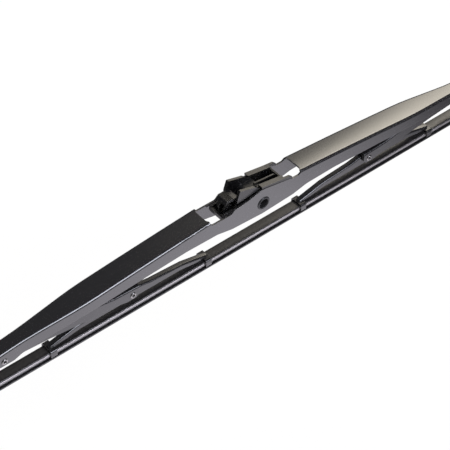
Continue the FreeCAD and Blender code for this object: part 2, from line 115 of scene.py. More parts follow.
# %% [markdown]
# ## Small helpers for node materials
# A material is a chain of nodes. It could be drawn by hand in the node editor, but a
# script can be read, compared and run again. Short helpers keep the chains readable: they
# fill a node's inputs, add a node, or add the few kinds of node that come up again and
# again. A node group is made for an effect that more than one material uses.

# %% Helpers that add nodes
BLACK_TO_WHITE = (0.0, 1.0)


def fill(node, inputs):
    """Sets a node's inputs, each to a value or to another node's output."""
    for key, value in inputs.items():
        if isinstance(value, bpy.types.NodeSocket):
            node.id_data.links.new(value, node.inputs[key])
        else:
            node.inputs[key].default_value = value


def add(tree, kind, inputs=None, **settings):
    """A new node with its settings and inputs."""
    node = tree.nodes.new(kind)
    for name, value in settings.items():
        setattr(node, name, value)
    fill(node, inputs or {})
    return node


def maths(tree, operation, a, b=0.0, c=0.0):
    """The output of one Math node."""
    return add(tree, "ShaderNodeMath", {0: a, 1: b, 2: c}, operation=operation).outputs[0]


def vector_maths(tree, operation, a, b=(0.0, 0.0, 0.0), output="Vector"):
    """An output of one Vector Math node."""
    return add(tree, "ShaderNodeVectorMath", {0: a, 1: b}, operation=operation).outputs[output]


def spread(tree, value, low, high, ends=BLACK_TO_WHITE):
    """The value carried smoothly from the range low..high to the range of the ends."""
    inputs = {"Value": value, "From Min": low, "From Max": high,
              "To Min": ends[0], "To Max": ends[1]}
    return add(tree, "ShaderNodeMapRange", inputs, interpolation_type="SMOOTHSTEP").outputs[0]


def object_place(tree):
    """The shaded point in Object coordinates: metres from the bush, as all pieces sit there."""
    return add(tree, "ShaderNodeTexCoord").outputs["Object"]


def two_tone(tree, share, first, second):
    """The first colour where the share is 0, the second where it is 1, mixed between."""
    inputs = {0: share, 6: first, 7: second}
    return add(tree, "ShaderNodeMix", inputs, data_type="RGBA").outputs[2]


# %% Helpers that make groups and materials


def group(name, inputs, outputs):
    """A shader node group with named float inputs, its inner inputs and its output node."""
    tree = bpy.data.node_groups.new(name, "ShaderNodeTree")
    for label, value in inputs.items():
        socket = tree.interface.new_socket(label, in_out="INPUT", socket_type="NodeSocketFloat")
        socket.default_value = value
    for label, kind in outputs.items():
        tree.interface.new_socket(label, in_out="OUTPUT", socket_type=kind)
    return tree, tree.nodes.new("NodeGroupInput").outputs, tree.nodes.new("NodeGroupOutput")


def use(tree, node_group, inputs):
    """The outputs of a group that is placed in a material with its own values."""
    return add(tree, "ShaderNodeGroup", inputs, node_tree=node_group).outputs


def material(name):
    """An empty node material with its tree and its Principled BSDF."""
    made = bpy.data.materials.new(name)
    made.use_nodes = True
    return made, made.node_tree, made.node_tree.nodes["Principled BSDF"]


# %% [markdown]
# ## The studio
# The photograph has a pure white ground with no shadow to speak of, black parts with
# clear reflections of it, and only two soft lights above: a warm one far to the right,
# which the right wing mirrors, and a cool one near the camera, which draws the bright
# line along the fold of the left wing. The rest of the room is dark, because the left
# wing's top is nearly black. So the studio is a pale floor, a white world, a dark tent
# over the table that only reflections see, and two lamps that give the soft light.

# %% The white world
AMBIENT = 0.75
WHITE = (1.0, 1.0, 1.0, 1)
world = bpy.data.worlds.new("studio_world")
bpy.context.scene.world = world
world.use_nodes = True
tree = world.node_tree
path = add(tree, "ShaderNodeLightPath").outputs
seen = maths(tree, "MAXIMUM", path["Is Camera Ray"], path["Is Glossy Ray"])
seen = maths(tree, "MAXIMUM", seen, path["Is Transmission Ray"])
strength = maths(tree, "MULTIPLY_ADD", seen, 1.0 - AMBIENT, AMBIENT)
fill(tree.nodes["Background"], {"Color": WHITE, "Strength": strength})
print("world", world.name, "soft light", AMBIENT)

# %% [markdown]
# The floor is one large pale square well below the blade. A white material alone would
# need so much light to look white that the blade would lose its blacks. So the camera
# sees mostly a plain white on it, and the small rest is ordinary matt paint, which keeps
# the faint shadow. Reflections see a white table that ends: it is brightest in front of
# the blade and falls off outwards, which gives the dark line between the bright fold and
# the grey wall.

# %% The floor
FLOOR_DEPTH = 0.16
FLOOR_HALF = 6.0
FLOOR_COLOR, FLOOR_ROUGHNESS = (0.92, 0.92, 0.925, 1), 0.9
FLOOR_WHITE_SHARE = 0.86
TABLE_CENTRE = (-0.04, -0.115, -FLOOR_DEPTH)
TABLE_WHITE, TABLE_END = 0.12, 0.44
TABLE_LIGHT, TABLE_FALL = (1.0, 0.965, 1.05, 1), (1.0, 0.03)


def flat_square(name, half, z):
    """A square of that half width at height z, facing up."""
    corners = [(-half, -half, z), (half, -half, z), (half, half, z), (-half, half, z)]
    mesh = bpy.data.meshes.new(name)
    mesh.from_pydata(corners, [], [(0, 1, 2, 3)])
    return put(name, mesh)


def glow(tree, color, strength=1.0):
    """The output of an Emission shader."""
    return add(tree, "ShaderNodeEmission", {"Color": color, "Strength": strength}).outputs[0]


def mixed(tree, share, first, second):
    """The first shader where the share is 0 and the second where it is 1."""
    return add(tree, "ShaderNodeMixShader", {0: share, 1: first, 2: second}).outputs[0]


floor_paint, tree, shader = material("floor_paint")
fill(shader, {"Base Color": FLOOR_COLOR, "Roughness": FLOOR_ROUGHNESS})
path = add(tree, "ShaderNodeLightPath").outputs
white_share = maths(tree, "MULTIPLY", path["Is Camera Ray"], FLOOR_WHITE_SHARE)
plain = mixed(tree, white_share, shader.outputs[0], glow(tree, WHITE))
away = vector_maths(tree, "DISTANCE", object_place(tree), TABLE_CENTRE, "Value")
table = glow(tree, TABLE_LIGHT, spread(tree, away, TABLE_WHITE, TABLE_END, TABLE_FALL))
floor_light = mixed(tree, path["Is Glossy Ray"], plain, table)
fill(tree.nodes["Material Output"], {"Surface": floor_light})
floor = flat_square("floor", FLOOR_HALF, -FLOOR_DEPTH)
floor.data.materials.append(floor_paint)
print("floor at", floor.data.vertices[0].co.z)

# %% [markdown]
# The tent is a dome whose light depends only on the direction from the blade. Softboxes
# could make the same reflections, but each would also change the soft light on the matt
# parts. The tent is hidden from the camera and from the soft light, so what is painted on
# it only shapes reflections, as black flags and white cards do in a real studio.

# %% The dome of the tent
TENT_RADIUS = 2.5
TENT_FOOT, TENT_CROWN = math.radians(1.0), math.radians(89.9)
TENT_RINGS, TENT_RIBS = 24, 64


def surface(name, points, ring=False, caps=False):
    """A mesh over a grid of points[i, j], closed round in j.

    With ring it is closed in i too, and with caps a flat face closes each end of i.
    """
    rows, columns = points.shape[:2]
    index = np.arange(rows * columns).reshape(rows, columns)
    ends = [index[0, ::-1].tolist(), index[-1].tolist()] if caps else []
    index = np.hstack([index, index[:, :1]])
    if ring:
        index = np.vstack([index, index[:1]])
    faces = np.stack([index[:-1, :-1], index[:-1, 1:], index[1:, 1:], index[1:, :-1]], -1)
    mesh = bpy.data.meshes.new(name)
    mesh.from_pydata(points.reshape(-1, 3).tolist(), [], faces.reshape(-1, 4).tolist() + ends)
    return mesh


def dome(radius, foot, crown):
    """Points of a dome: rings of latitude h from the foot up to just short of the pole.

    A point at the turn t is radius times (cos h cos t, cos h sin t, sin h).
    """
    h = np.linspace(foot, crown, TENT_RINGS)[:, None]
    t = np.linspace(0, 2 * math.pi, TENT_RIBS, endpoint=False)[None, :]
    x, y = np.cos(h) * np.cos(t), np.cos(h) * np.sin(t)
    return radius * np.stack([x, y, np.broadcast_to(np.sin(h), x.shape)], -1)


tent = put("tent", surface("tent", dome(TENT_RADIUS, TENT_FOOT, TENT_CROWN)))
for kind in ("camera", "diffuse", "transmission", "shadow", "volume_scatter"):
    setattr(tent, "visible_" + kind, False)
print("tent faces", len(tent.data.polygons))

# %% [markdown]
# Each light on the tent is as bright as its reflection must be. To the right there is a
# warm panel with a bright core and a wide faint halo, which gives the right wing its
# gradient. Towards the camera there is a small cool panel for the line along the left
# fold. The rest is nearly black. Cycles would also aim light samples at the tent and the
# floor because they shine. They light nothing matt, so that is switched off.

# %% Directions in the sky
TENT_DARK = (0.072, 0.071, 0.076, 1)
WARM_LIGHT, COOL_LIGHT = (1.0, 0.925, 0.79, 1), (0.86, 0.88, 1.0, 1)
# Azimuth and elevation in degrees, then the angles where a light begins and where it is full.
WARM_LEFT, WARM_RIGHT, WARM_FOOT, WARM_TOP = (41, 28), (3, 11), (12, 20), (55, 47)
HALO_AIM, HALO_EDGE = (30.0, 38.0), (29.0, 14.0)
CORE_AIM, CORE_EDGE = (21.0, 43.0), (15.0, 4.0)
COOL_AIM, COOL_EDGE = (-76.0, 30.0), (19.0, 12.0)
WARM_PANEL, WARM_HALO, WARM_CORE, COOL_PANEL = 2.6, 0.30, 1.8, 6.8


def direction(azimuth, elevation):
    """Unit vector to a place in the sky, both angles in degrees, azimuth 0 along +X."""
    a, e = math.radians(azimuth), math.radians(elevation)
    return math.cos(e) * math.cos(a), math.cos(e) * math.sin(a), math.sin(e)


def nearness(tree, aim, edge):
    """1 within the inner angle of an aim direction, 0 beyond the outer one, smooth between."""
    unit = vector_maths(tree, "NORMALIZE", object_place(tree))
    cosine = vector_maths(tree, "DOT_PRODUCT", unit, direction(*aim), "Value")
    outer, inner = (math.cos(math.radians(angle)) for angle in edge)
    return spread(tree, cosine, outer, inner)


def soft_panel(tree, *sides):
    """1 on a panel between two azimuths and two elevations, each side fading from out to in."""
    unit = vector_maths(tree, "NORMALIZE", object_place(tree))
    axis = add(tree, "ShaderNodeSeparateXYZ", {0: unit}).outputs
    azimuth = maths(tree, "ARCTAN2", axis["Y"], axis["X"])
    elevation = maths(tree, "ARCSINE", axis["Z"])
    shape = 1.0
    for angle, (out, full) in zip((azimuth, azimuth, elevation, elevation), sides):
        low, high = sorted((math.radians(out), math.radians(full)))
        ends = BLACK_TO_WHITE if full > out else BLACK_TO_WHITE[::-1]
        shape = maths(tree, "MULTIPLY", shape, spread(tree, angle, low, high, ends))
    return shape


# %% The light painted on the tent


def added(tree, first, second):
    """Two shaders added up."""
    return add(tree, "ShaderNodeAddShader", {0: first, 1: second}).outputs[0]


tent_light, tree, shader = material("tent_light")
tree.nodes.remove(shader)
core = maths(tree, "MULTIPLY", nearness(tree, CORE_AIM, CORE_EDGE), WARM_CORE)
halo = maths(tree, "MULTIPLY_ADD", nearness(tree, HALO_AIM, HALO_EDGE), WARM_HALO, core)
panel = soft_panel(tree, WARM_LEFT, WARM_RIGHT, WARM_FOOT, WARM_TOP)
warm = glow(tree, WARM_LIGHT, maths(tree, "MULTIPLY_ADD", panel, WARM_PANEL, halo))
cool = maths(tree, "MULTIPLY", nearness(tree, COOL_AIM, COOL_EDGE), COOL_PANEL)
both = added(tree, warm, glow(tree, COOL_LIGHT, cool))
fill(tree.nodes["Material Output"], {"Surface": added(tree, glow(tree, TENT_DARK), both)})
tent.data.materials.append(tent_light)
tent_light.cycles.emission_sampling = floor_paint.cycles.emission_sampling = "NONE"
print("tent light nodes", len(tree.nodes))

# %% [markdown]
# Two large area lamps stand where the panels are painted. They give the matt light, and
# their own mirror image is switched off, because the tent already has it.

# %% The two lamps
LAMP_AWAY, LAMP_SIZE, LAMP_POWER = 1.8, 1.2, 14.0
WARM_LAMP, COOL_LAMP = (25.0, 40.0), (-76.0, 50.0)


def lamp(name, aim, color):
    """A square area lamp that looks at the blade from a direction in the sky."""
    data = bpy.data.lights.new(name, "AREA")
    data.size, data.energy, data.color = LAMP_SIZE, LAMP_POWER, color[:3]
    made = put(name, data)
    toward = Vector(direction(*aim))
    made.location = toward * LAMP_AWAY
    made.rotation_euler = toward.to_track_quat("Z", "Y").to_euler()
    made.visible_glossy = False
    return made


lamps = [lamp("warm_lamp", WARM_LAMP, WARM_LIGHT), lamp("cool_lamp", COOL_LAMP, COOL_LIGHT)]
print("lamps", [made.name for made in lamps])

# %% [markdown]
# ## Shared surface effects
# Three effects turn up on more than one material. They could be built again in each, but
# a node group is built once and takes each material's own values. The first rounds sharp
# edges in the shading, which catches a thin line of light as a pressed or moulded edge
# does, and gives a mask of where those edges are. The second is the faint orange peel of
# sprayed paint and moulded plastic, with a broad cloud for an uneven finish. The third is
# grain drawn out along the blade, as on strip steel and extruded rubber.

# %% Edge group
BEVEL_SAMPLES = 6
EDGE_BEGINS, EDGE_FULL = 0.995, 0.85
edge_group, given, result = group("edge_round", {"Radius": 0.3 * MM},
                                  {"Normal": "NodeSocketVector", "Edge": "NodeSocketFloat"})
bevel = add(edge_group, "ShaderNodeBevel", {"Radius": given["Radius"]}, samples=BEVEL_SAMPLES)
flat = add(edge_group, "ShaderNodeNewGeometry").outputs["True Normal"]
same = vector_maths(edge_group, "DOT_PRODUCT", bevel.outputs[0], flat, "Value")
fill(result, {"Normal": bevel.outputs[0],
              "Edge": spread(edge_group, same, EDGE_BEGINS, EDGE_FULL)})
print("group", edge_group.name, "nodes", len(edge_group.nodes))

# %% Orange peel group
CLOUD_SCALE = 38.0


def noise(tree, place, scale, detail):
    """Soft random values about 0.5: the output of one Noise Texture."""
    inputs = {"Vector": place, "Scale": scale, "Detail": detail}
    return add(tree, "ShaderNodeTexNoise", inputs).outputs["Fac"]


peel_group, given, result = group("orange_peel", {"Scale": 900.0},
                                  {"Height": "NodeSocketFloat", "Cloud": "NodeSocketFloat"})
place = object_place(peel_group)
fill(result, {"Height": noise(peel_group, place, given["Scale"], detail=2.0),
              "Cloud": noise(peel_group, place, CLOUD_SCALE, detail=3.0)})
print("group", peel_group.name, "nodes", len(peel_group.nodes))

# %% Lengthwise grain group
grain_group, given, result = group("length_grain", {"Along": 12.0, "Across": 2200.0},
                                   {"Grain": "NodeSocketFloat"})
stretch = add(grain_group, "ShaderNodeCombineXYZ",
              {0: given["Along"], 1: given["Across"], 2: given["Across"]}).outputs[0]
drawn = vector_maths(grain_group, "MULTIPLY", object_place(grain_group), stretch)
fill(result, {"Grain": noise(grain_group, drawn, scale=1.0, detail=1.0)})
print("group", grain_group.name, "nodes", len(grain_group.nodes))

# %% [markdown]
# ## Black paint on the pressed steel
# The bridge and the yokes are dipped in black and baked: a dark, even coat with a satin
# sheen, cloudy where the film is thicker. A lighter olive line along the cut edges is a
# painted highlight, for the warm light that a rounded cut edge catches.
# It could be a mix of a matt and a glossy shader, but one Principled shader with a thin
# clear coat gives the strong reflections at a low angle by itself. The cloud changes the
# roughness a little, so the sheen isn't dead even. A press also leaves the bridge's roof
# slightly bowed across, too little to see in its outline, but enough to carry the light
# from dark to bright over its width. So the bow is only in the bridge's shading.

# %% How a skin takes the light
CLOUD_RANGE = (0.3, 0.7)
PEEL_HEIGHT = 0.03 * MM


def uneven(tree, cloud, ends):
    """A value that drifts between the ends with a cloud or a grain."""
    return spread(tree, cloud, *CLOUD_RANGE, ends)


def painted_edge_highlight(tree, base, highlight, edges, amount):
    """Base colour that goes towards a painted highlight along the edges."""
    return two_tone(tree, maths(tree, "MULTIPLY", edges, amount), base, highlight)


def bump(tree, height, normal, strength, distance):
    """A normal that is tilted by a height: the output of one Bump node."""
    inputs = {"Height": height, "Normal": normal, "Strength": strength, "Distance": distance}
    return add(tree, "ShaderNodeBump", inputs).outputs[0]


def skin(tree, shader, peel_scale, peel_depth, edge_radius, crown=0.0):
    """Rounds the edges in the shading, lays the peel over them, returns edge mask and cloud.

    The crown, if any, bows a flat across the blade: its height is minus crown times y squared.
    """
    edges = use(tree, edge_group, {"Radius": edge_radius})
    peel = use(tree, peel_group, {"Scale": peel_scale})
    normal = edges["Normal"]
    if crown:
        y = add(tree, "ShaderNodeSeparateXYZ", {0: object_place(tree)}).outputs["Y"]
        bow = maths(tree, "MULTIPLY", maths(tree, "MULTIPLY", y, y), -crown)
        normal = bump(tree, bow, normal, strength=1.0, distance=1.0)
    fill(shader, {"Normal": bump(tree, peel["Height"], normal, peel_depth, PEEL_HEIGHT)})
    return edges["Edge"], peel["Cloud"]


# %% Paint
# The olive edge colour is a painted highlight along the cut edges, not wear.
BAKED_BLACK, PAINT_EDGE_HIGHLIGHT = (0.0105, 0.0105, 0.0118, 1), (0.13, 0.125, 0.11, 1)
PAINT_ROUGHNESS, COAT_ROUGHNESS = (0.19, 0.235), 0.16
ROOF_CROWN = 5.5


def baked_paint(name, ior, coat, edge_radius, crown=0.0):
    """Black baked paint on a pressed sheet whose roof is bowed across by the crown."""
    made, tree, shader = material(name)
    edges, cloud = skin(tree, shader, peel_scale=1400.0, peel_depth=0.03,
                        edge_radius=edge_radius, crown=crown)
    fill(shader, {"Base Color": painted_edge_highlight(tree, BAKED_BLACK, PAINT_EDGE_HIGHLIGHT, edges, amount=0.6),
                  "Roughness": uneven(tree, cloud, PAINT_ROUGHNESS), "IOR": ior,
                  "Coat Weight": coat, "Coat Roughness": COAT_ROUGHNESS})
    return made


bridge_paint = baked_paint("bridge_paint", 1.88, coat=0.9, edge_radius=0.3 * MM, crown=ROOF_CROWN)
yoke_paint = baked_paint("yoke_paint", 1.7, coat=0.7, edge_radius=0.2 * MM)
print("paints", bridge_paint.name, yoke_paint.name)

# %% [markdown]
# ## Moulded plastic, liners and rivets
# The adapter is black glass-filled nylon. Its outer faces reflect the room about as much
# as the paint does, but its skin is finer and a little rougher, and a light highlight is
# painted along its thin edges. Its pocket needs no darker material, because its own walls
# shade it. The liners are matt. The rivets are zinc-plated steel that has gone dull, so
# they are the only warm grey metal that shows, and the bush is blackened. The rims of
# their heads get a painted highlight too.

# %% Adapter plastic
# The light olive edge colour is a painted highlight along the adapter's thin edges.
NYLON_BLACK, NYLON_EDGE_HIGHLIGHT = (0.006, 0.006, 0.0065, 1), (0.20, 0.19, 0.155, 1)
adapter_plastic, tree, shader = material("black_nylon")
edges, cloud = skin(tree, shader, peel_scale=2600.0, peel_depth=0.05, edge_radius=0.12 * MM)
fill(shader, {"Base Color": painted_edge_highlight(tree, NYLON_BLACK, NYLON_EDGE_HIGHLIGHT, edges, amount=0.8),
              "Roughness": uneven(tree, cloud, (0.26, 0.31)), "IOR": 1.8})
print("plastic", adapter_plastic.name)

# %% Liner plastic
LINER_BLACK = (0.012, 0.012, 0.013, 1)
liner_plastic, tree, shader = material("liner_plastic")
_, cloud = skin(tree, shader, peel_scale=2000.0, peel_depth=0.4, edge_radius=0.2 * MM)
fill(shader, {"Base Color": LINER_BLACK, "Roughness": uneven(tree, cloud, (0.5, 0.62))})
print("plastic", liner_plastic.name)

# %% Rivet steel
# The lighter edge colours of the rivets and the bush are painted highlights on their rims.
ZINC, ZINC_EDGE_HIGHLIGHT = (0.42, 0.41, 0.40, 1), (0.62, 0.60, 0.57, 1)
BLACKENED, BUSH_EDGE_HIGHLIGHT = (0.055, 0.055, 0.058, 1), (0.30, 0.29, 0.27, 1)


def plated_steel(name, flat_color, highlight_color, metal):
    """Dull plated steel, with a highlight painted along the rim of a head."""
    made, tree, shader = material(name)
    edges, cloud = skin(tree, shader, peel_scale=1800.0, peel_depth=0.3, edge_radius=0.15 * MM)
    fill(shader, {"Base Color": painted_edge_highlight(tree, flat_color, highlight_color, edges, amount=0.8),
                  "Roughness": uneven(tree, cloud, (0.22, 0.32)), "Metallic": metal})
    return made


rivet_steel = plated_steel("plated_rivet_steel", ZINC, ZINC_EDGE_HIGHLIGHT, metal=1.0)
bush_steel = plated_steel("blackened_bush_steel", BLACKENED, BUSH_EDGE_HIGHLIGHT, metal=0.6)
print("steels", rivet_steel.name, bush_steel.name)

# %% [markdown]
# ## Rubber and rail finishes
# The rubber is an extrusion, so everything on it runs lengthwise: fine drawn lines, and a
# lighter lilac band on the flanks of the head, which is a painted reflection of the white
# floor. A band could be placed by its height, but it would slide when the rubber bends. So
# the rubber carries a UV map whose second value is the way round the section, and the band
# follows that. The rails are cold-rolled spring steel with a bright brushed edge.

# %% Rubber
RUBBER_DARK, RUBBER_LIGHT = (0.012, 0.0116, 0.012, 1), (0.022, 0.021, 0.0215, 1)
RUBBER_TONE = (0.35, 0.65)
# A lighter lilac band on the head's flanks: a painted reflection of the white floor.
FLANK_REFLECTION_BAND, FLANK_REFLECTION_GREY = (9.9 * MM, 11.2 * MM), (0.30, 0.285, 0.30, 1)
BAND_SOFT = 0.1 * MM


def strip_band(tree, band):
    """1 on both strips of the section whose way round from the top, v, is in the band."""
    way = add(tree, "ShaderNodeUVMap", uv_map="strip").outputs["UV"]
    v = add(tree, "ShaderNodeSeparateXYZ", {0: way}).outputs["Y"]
    begins = spread(tree, v, band[0] - BAND_SOFT, band[0] + BAND_SOFT)
    ends = spread(tree, v, band[1] - BAND_SOFT, band[1] + BAND_SOFT, BLACK_TO_WHITE[::-1])
    return maths(tree, "MULTIPLY", begins, ends)


rubber_skin, tree, shader = material("wiping_rubber")
grain = use(tree, grain_group, {"Along": 1.0, "Across": 520.0})["Grain"]
color = two_tone(tree, spread(tree, grain, *RUBBER_TONE), RUBBER_DARK, RUBBER_LIGHT)
# Paints the floor's reflection onto the flanks of the head.
color = two_tone(tree, strip_band(tree, FLANK_REFLECTION_BAND), color, FLANK_REFLECTION_GREY)
fill(shader, {"Base Color": color, "Roughness": uneven(tree, grain, (0.33, 0.38)),
              "IOR": 1.65, "Coat Weight": 0.4, "Coat Roughness": 0.24})
print("rubber", rubber_skin.name)

# %% Rail steel
RAIL_DARK, RAIL_LIGHT = (0.56, 0.54, 0.545, 1), (0.66, 0.64, 0.645, 1)
rail_steel, tree, shader = material("brushed_rail_steel")
grain = use(tree, grain_group, {"Along": 8.0, "Across": 700.0})["Grain"]
color = two_tone(tree, uneven(tree, grain, BLACK_TO_WHITE), RAIL_DARK, RAIL_LIGHT)
fill(shader, {"Base Color": color, "Roughness": uneven(tree, grain, (0.27, 0.31)),
              "Metallic": 1.0})
print("rails", rail_steel.name)

# %% Give every kept node its finish
FINISHES = {"painted_steel": yoke_paint, "adapter_plastic": adapter_plastic,
            "liner_plastic": liner_plastic, "rivet_steel": rivet_steel,
            "rubber": rubber_skin, "rail_steel": rail_steel}
slots = {part["node"]: part["material_slot"] for part in frame["record"]["subparts"]}
node_finish = {name: FINISHES[slots[name]] for name in frame["nodes"]}
node_finish["main_bridge"] = bridge_paint
for name, node in frame["nodes"].items():
    node.data.materials.clear()
    node.data.materials.append(node_finish[name])
print("finishes", len(set(node_finish.values())))

# %% [markdown]
# ## Smooth pressings and mouldings
# The frame's meshes are loose flat triangles, so light would break into facets along the
# rounded folds of the steel. The pieces could be modelled again, but a copy keeps their
# shape exactly: its triangles are joined where they meet, and the shading runs over the
# folds. An edge sharper than the piece's fold angle is marked, so cut edges stay crisp.
# Large faces weigh most in the shading, so flats stay flat right up to a fold.

# %% A finished piece


def new_piece(name, mesh, finish_material, fold=None):
    """An object for a finished mesh, with its material and smooth shading.

    Edges sharper than the fold angle stay crisp. Without one the mesh keeps its own marks.
    """
    mesh.materials.append(finish_material)
    mesh.shade_smooth()
    if fold:
        mesh.set_sharp_from_angle(angle=math.radians(fold))
    made = put(name, mesh)
    return made


# %% Copies of the pressed and moulded nodes
JOIN = 0.001 * MM
FOLD_ANGLE = {"painted_steel": 40.0, "adapter_plastic": 24.0, "liner_plastic": 30.0}
FLAT_WEIGHT = 95
bodies = frame["record"]["behaviour"]["bodies"]
node_body = {member: body for body, members in bodies.items() for member in members}


def smooth_copy(node):
    """The node's triangles joined to one skin, in the node's place and with its finish."""
    shape = bmesh.new()
    shape.from_mesh(frame["nodes"][node].data)
    bmesh.ops.remove_doubles(shape, verts=shape.verts, dist=JOIN)
    bmesh.ops.recalc_face_normals(shape, faces=shape.faces)
    fold = math.radians(FOLD_ANGLE[slots[node]])
    for edge in shape.edges:
        edge.smooth = edge.calc_face_angle(0.0) < fold
    mesh = bpy.data.meshes.new(node + "_skin")
    shape.to_mesh(mesh)
    shape.free()
    piece = new_piece(node + "_skin", mesh, node_finish[node])
    even = piece.modifiers.new("even_flats", "WEIGHTED_NORMAL")
    even.mode = "FACE_AREA_WITH_ANGLE"
    even.weight = FLAT_WEIGHT
    even.keep_sharp = True
    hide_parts(node)
    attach(piece, node_body[node])
    return piece


skins = [smooth_copy(node) for node in frame["nodes"] if slots[node] in FOLD_ANGLE]
print("skins", len(skins), "faces", sum(len(piece.data.polygons) for piece in skins))

# %% [markdown]
# ## Rolled rivets
# The six tubular rivets and the hollow bush are closed by a tool that rolls the tube's
# end outwards. That leaves a rounded doughnut of a head with a smooth mouth. The frame has
# them with flat heads. A bevel on those would round the rim but not the mouth, so each is
# made again as a turned shape: half a section, carried round the rivet's axis.

# %% A turned piece
TURN_STEPS, ROLL_STEPS = 56, 8
CROWN_IN_WALL, CROWN_OUT = 0.45, 0.25


def turned(name, section, centre):
    """A section of (radius, y) points carried round an axis along Y through the centre.

    Point (i, j) is at angle t = 2 pi i / steps: x = radius_j cos t, z = radius_j sin t.
    """
    turn = np.linspace(0, 2 * math.pi, TURN_STEPS, endpoint=False)[:, None]
    radius, y = section[:, 0][None, :], section[:, 1][None, :]
    x, z = radius * np.cos(turn) + centre[0], radius * np.sin(turn) + centre[2]
    points = np.stack([x, np.broadcast_to(y + centre[1], x.shape), z], -1)
    return surface(name, points, ring=True)


def rolled_section(bore, barrel, head, half, thick):
    """Closed half section of a tube with a rolled head at each end.

    Each head is a quarter ellipse outside, from the head's rim up to its crown, and a
    quarter circle inside, from the crown down into the bore. The crown's radius is nearly
    half way through the tube's wall, plus a quarter of what the head stands out.
    """
    t = np.linspace(0, math.pi / 2, ROLL_STEPS)
    crown = bore + CROWN_IN_WALL * (barrel - bore) + CROWN_OUT * (head - barrel)
    outer = np.stack([crown + (head - crown) * np.cos(t), half + thick * np.sin(t)], -1)
    lip = crown - bore
    inner = np.stack([crown - lip * np.sin(t), half + thick - lip * (1 - np.cos(t))], -1)[1:]
    end = np.vstack([[[barrel, half]], outer, inner])
    return np.vstack([end, end[::-1] * (1, -1)])


# %% The bush and the rivets
BUSH_BORE, BUSH_BARREL = 3.2 * MM, 3.9 * MM
RIVET_BORE, RIVET_BARREL = 0.85 * MM, 1.5 * MM
HEAD_THICK = 0.6 * MM
ROLLED_FOLD = 40.0


def replace_rivet(node, bore, barrel, steel):
    """A rolled rivet in the place of a node, which gives its centre, half length and head."""
    low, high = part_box(node)
    centre = (low + high) / 2
    head, half = (high.x - low.x) / 2, (high.y - low.y) / 2 - HEAD_THICK
    mesh = turned(node + "_rolled", rolled_section(bore, barrel, head, half, HEAD_THICK), centre)
    piece = new_piece(node + "_rolled", mesh, steel, ROLLED_FOLD)
    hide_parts(node)
    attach(piece, node_body[node])
    return piece


rolled = [replace_rivet("centre_bush", BUSH_BORE, BUSH_BARREL, bush_steel)]
rolled += [replace_rivet(node, RIVET_BORE, RIVET_BARREL, rivet_steel)
           for node in frame["nodes"] if "rivet" in node]
print("rolled pieces", len(rolled))

# %% [markdown]
# ## The rubber and its rails
# The rubber is one extrusion: a section carried along a straight path. A curve with a
# bevel could make it, but its points along the path must be where the rubber bends, so it
# is worked out as an array. When the yokes swing, the rubber bends with the claws that
# grip it. So it is cut into lengths, each listed with the two bodies that hold it, though
# this script doesn't make a length bend. Where a length would bend it has many stations,
# and elsewhere few.
#
# The section could be drawn as a free curve, but a die cuts flats that meet in small
# radii. So it is a table of corners, each with its own radius. Only the right half is
# written down, and the left one mirrors it. The top, the tip and the slots come from the
# frame, so the rubber fills the same box.

# %% A rounded outline
ARC_STEPS = 5
LEAST_RADIUS = 0.02


def rounded(corners):
    """Points of a closed outline whose (y, z, r) corners are arcs of radius r.

    Each arc starts and ends where a circle of radius r touches both sides: r / tan(half
    the corner's angle) from the corner. Its points turn evenly about the circle's centre.
    """
    corners = np.array(corners, float)
    p, r = corners[:, :2], np.maximum(corners[:, 2:], LEAST_RADIUS)
    a, b = np.roll(p, 1, 0) - p, np.roll(p, -1, 0) - p
    a /= np.linalg.norm(a, axis=1, keepdims=True)
    b /= np.linalg.norm(b, axis=1, keepdims=True)
    half = np.arccos(np.clip((a * b).sum(1, keepdims=True), -1, 1)) / 2
    middle = (a + b) / np.linalg.norm(a + b, axis=1, keepdims=True)
    centre = p + middle * r / np.sin(half)
    start, end = p + a * r / np.tan(half) - centre, p + b * r / np.tan(half) - centre
    turn = math.pi - 2 * half[:, :, None]
    t = np.linspace(0, 1, ARC_STEPS)[None, :, None]
    arc = (np.sin((1 - t) * turn) * start[:, None] + np.sin(t * turn) * end[:, None]) / np.sin(turn)
    return (centre[:, None] + arc).reshape(-1, 2)


# %% Measures of the section, in millimetres
low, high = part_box("rubber_element")
TOP, TIP, RUBBER_HALF = high.z / MM, low.z / MM, high.y / MM
RUBBER_END = high.x
rail_low, rail_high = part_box("steel_rail_front")
SLOT_CLEARANCE = 0.05
SLOT_TOP, SLOT_LOW = rail_high.z / MM + SLOT_CLEARANCE, rail_low.z / MM - SLOT_CLEARANCE
CORE_HALF, HEAD_LOWER = 1.2, 1.0
WING_TOP, WING_LOW, WING_HALF = -34.3, -35.5, 3.2
LIP_ROOT, LIP_ROOT_HALF = WING_LOW - 0.3, 1.1
LIP_WAIST, LIP_WAIST_HALF = WING_LOW - 1.9, 0.5
LIP_HALF = 0.4
print("section", round(TOP - TIP, 2), "high", round(2 * RUBBER_HALF, 2), "wide")

# %% The sections of the rubber and the rails


